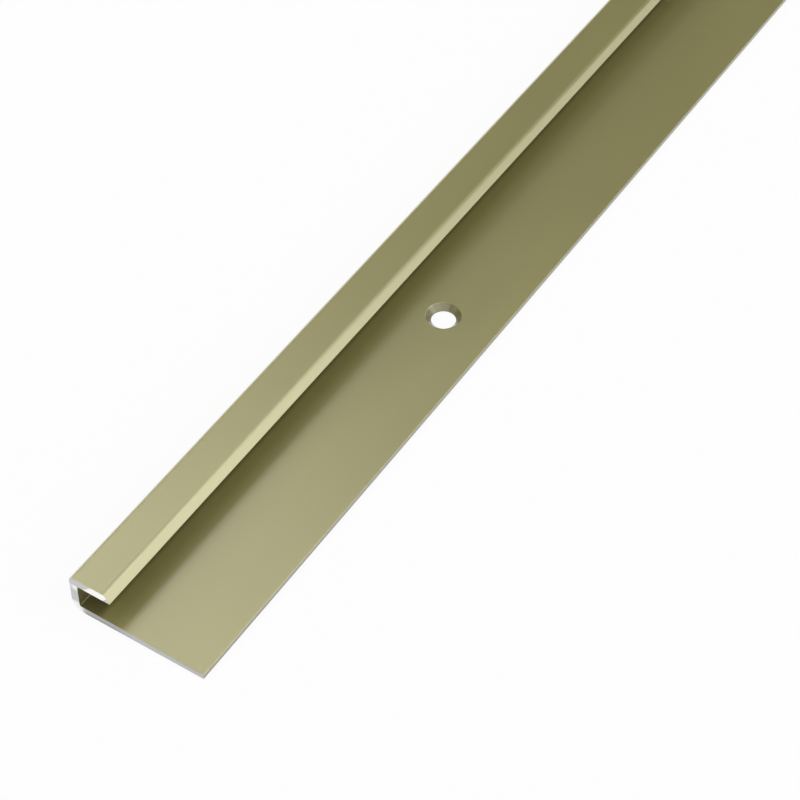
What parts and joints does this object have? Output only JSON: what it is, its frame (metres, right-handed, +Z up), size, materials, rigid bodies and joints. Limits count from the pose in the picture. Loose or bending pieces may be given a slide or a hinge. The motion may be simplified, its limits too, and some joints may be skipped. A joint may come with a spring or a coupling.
{
  "type": "aluminium extrusion profile",
  "caption": "Long J-section floor edge profile in satin champagne anodised aluminium: a bevelled lip over an open channel, and a wide tapered flange with countersunk screw holes.",
  "frame": {"origin": "middle of the underside of the section's box, at mid length, on the floor that the profile lies on", "axes": "+Y along the length, +Z up out of the flange, +X across the width from the wall to the flange's free edge"},
  "size_m": [0.026, 0.9, 0.008],
  "materials": {
    "champagne_anodised": "satin"
  },
  "bodies": {
    "root": {"profile": "champagne_anodised"}
  },
  "joints": []
}
